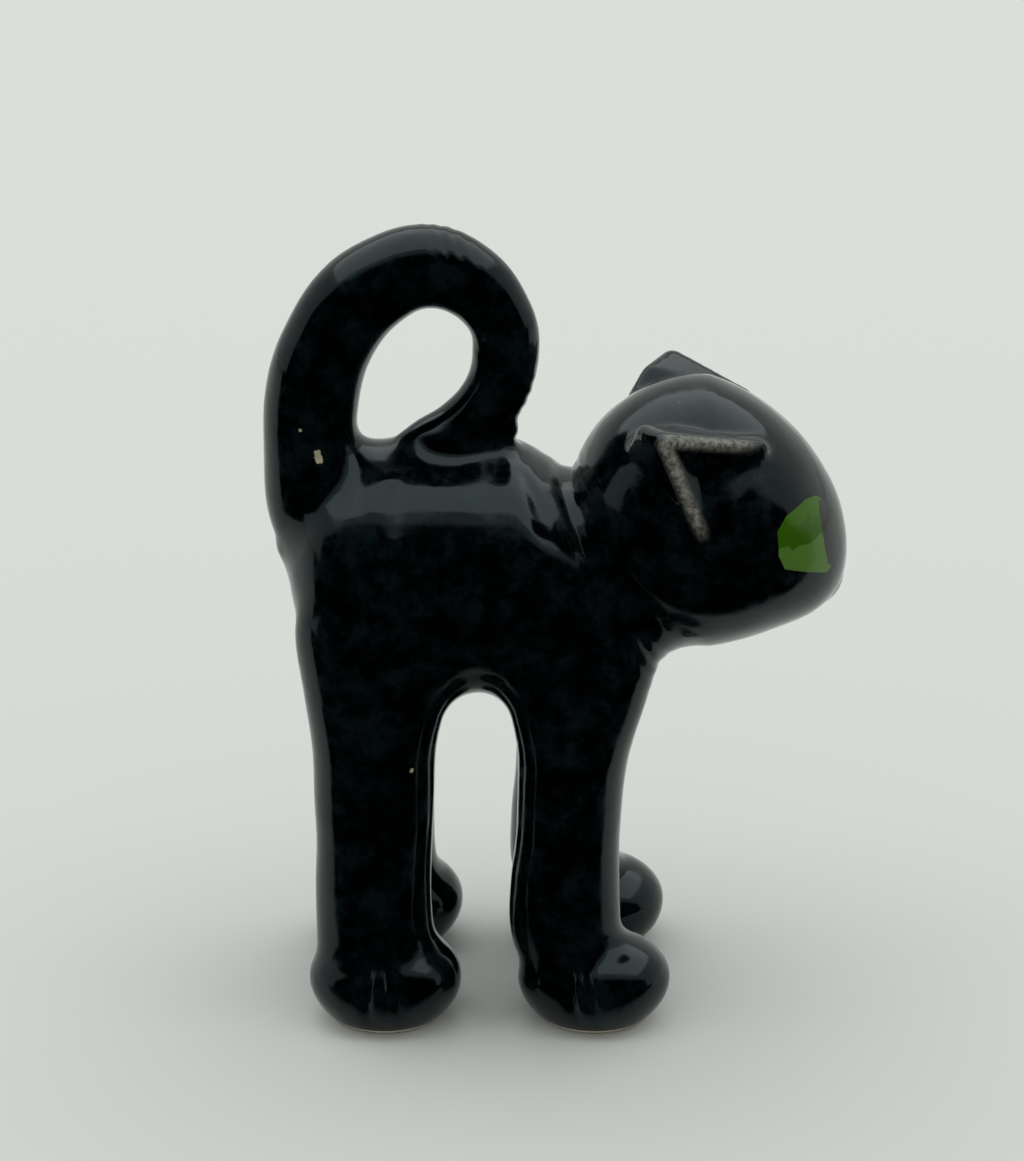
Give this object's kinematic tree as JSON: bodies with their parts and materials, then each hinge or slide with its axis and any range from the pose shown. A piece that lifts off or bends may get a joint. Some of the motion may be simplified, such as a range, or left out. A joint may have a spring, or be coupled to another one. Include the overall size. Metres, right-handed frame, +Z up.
{
  "type": "ceramic cat figurine",
  "caption": "Small glossy black glazed ceramic cat standing with an arched back, its tail curled over into a closed loop, green painted eyes and ball paws with incised toes.",
  "frame": {"origin": "middle of the stance on the table plane: the bottom centre of the figure's bounding box, with the soles on z = 0", "axes": "+X the way the cat faces, +Y the cat's left side, +Z up"},
  "size_m": [0.0551, 0.0296, 0.077],
  "materials": {
    "black_glaze": "thick glossy black glaze, faintly mottled blue-green, breaking rough and pale on the ears' sharp edges",
    "green_enamel": "brushed olive-green overglaze enamel, gloss",
    "black_enamel": "black overglaze enamel slit pupil, gloss",
    "bare_clay": "cream unglazed fired clay, matt"
  },
  "bodies": {
    "root": {"torso": "black_glaze", "neck": "black_glaze", "head": "black_glaze", "muzzle": "black_glaze", "tail": "black_glaze", "ear_left": "black_glaze", "ear_right": "black_glaze", "eye_left": "green_enamel", "eye_right": "green_enamel", "pupil_left": "black_enamel", "pupil_right": "black_enamel", "fore_leg_left": "black_glaze", "fore_leg_right": "black_glaze", "hind_leg_left": "black_glaze", "hind_leg_right": "black_glaze", "fore_paw_left": "black_glaze", "fore_paw_right": "black_glaze", "hind_paw_left": "black_glaze", "hind_paw_right": "black_glaze", "fore_sole_left": "bare_clay", "fore_sole_right": "bare_clay", "hind_sole_left": "bare_clay", "hind_sole_right": "bare_clay"}
  },
  "joints": []
}
